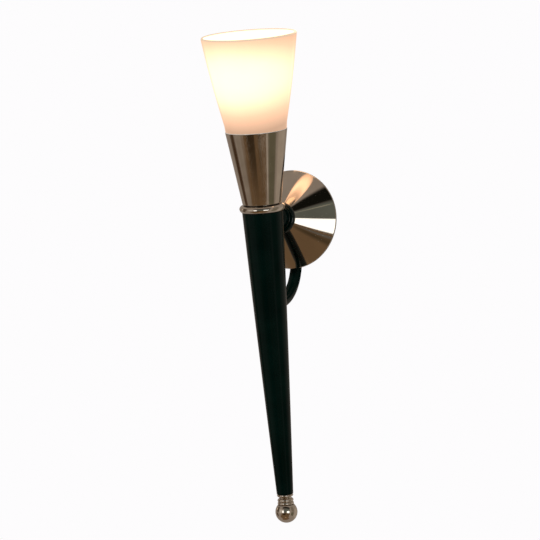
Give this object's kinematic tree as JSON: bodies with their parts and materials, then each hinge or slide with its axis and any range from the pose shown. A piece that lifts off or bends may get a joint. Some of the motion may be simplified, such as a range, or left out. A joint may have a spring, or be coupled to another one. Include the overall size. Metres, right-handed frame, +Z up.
{
  "type": "torch sconce",
  "caption": "Leaning torch wall light: opal glass cone in a nickel cup on a tapered black shaft, held by a neck through a conical canopy and a bent tube.",
  "frame": {"origin": "centre of the wall plate's back face, midway between its two screw slots, on the wall plane", "axes": "+Y into the wall, -Y out into the room, +Z up, +X to the right of someone facing the wall; the torch leans 12.5 degrees, top towards -Y"},
  "size_m": [0.12, 0.2103, 0.5946],
  "materials": {
    "black_lacquer": "gloss",
    "polished_nickel": "polished",
    "brushed_nickel": "satin",
    "opal_glass": "gloss",
    "lamp_opal": "satin",
    "zinc_steel": "satin",
    "brass": "satin",
    "porcelain": "gloss",
    "earth_green": "satin",
    "silicone": "matte",
    "black_vitrite": "gloss",
    "brown_wire": "satin",
    "blue_wire": "satin"
  },
  "bodies": {
    "torch": {"wall_plate": "zinc_steel", "earth_washer": "brass", "earth_screw": "earth_green", "arm_saddle": "zinc_steel", "saddle_screws": "zinc_steel", "stem_pipe": "brass", "stem_locknut": "brass", "stem_spacer": "zinc_steel", "stem_neck": "black_lacquer", "arm_tube": "black_lacquer", "arm_plug": "zinc_steel", "arm_stud": "zinc_steel", "shaft_block": "zinc_steel", "shaft_tube": "black_lacquer", "shaft_head": "zinc_steel", "shaft_foot": "zinc_steel", "bead_ring": "polished_nickel", "cup": "brushed_nickel", "cup_washer": "zinc_steel", "cup_nut": "brass", "riser_pipe": "brass", "holder_cap": "brass", "holder_body": "porcelain", "holder_shell": "brass", "holder_contact": "brass", "holder_terminals": "brass", "shade_gasket": "silicone", "lead_live": "brown_wire", "lead_neutral": "blue_wire", "finial_collar": "polished_nickel", "finial_ball": "polished_nickel", "finial_stud": "zinc_steel"},
    "canopy": {"canopy_cone": "polished_nickel", "canopy_collar": "black_lacquer", "collar_grub_screw": "zinc_steel"},
    "shade": {"shade_glass": "opal_glass"},
    "lamp": {"lamp_cap": "zinc_steel", "lamp_insulator": "black_vitrite", "lamp_contact": "brass", "lamp_glass": "lamp_opal"}
  },
  "joints": [
    {"name": "canopy_slide", "type": "slide", "parent": "torch", "child": "canopy", "axis": [0, -1, 0], "range_m": [0, 0.014]},
    {"name": "shade_lift", "type": "slide", "parent": "torch", "child": "shade", "axis": [0, -0.2164, 0.9763], "range_m": [0, 0.11]},
    {"name": "lamp_draw", "type": "slide", "parent": "torch", "child": "lamp", "axis": [0, -0.2164, 0.9763], "range_m": [0, 0.03]}
  ]
}
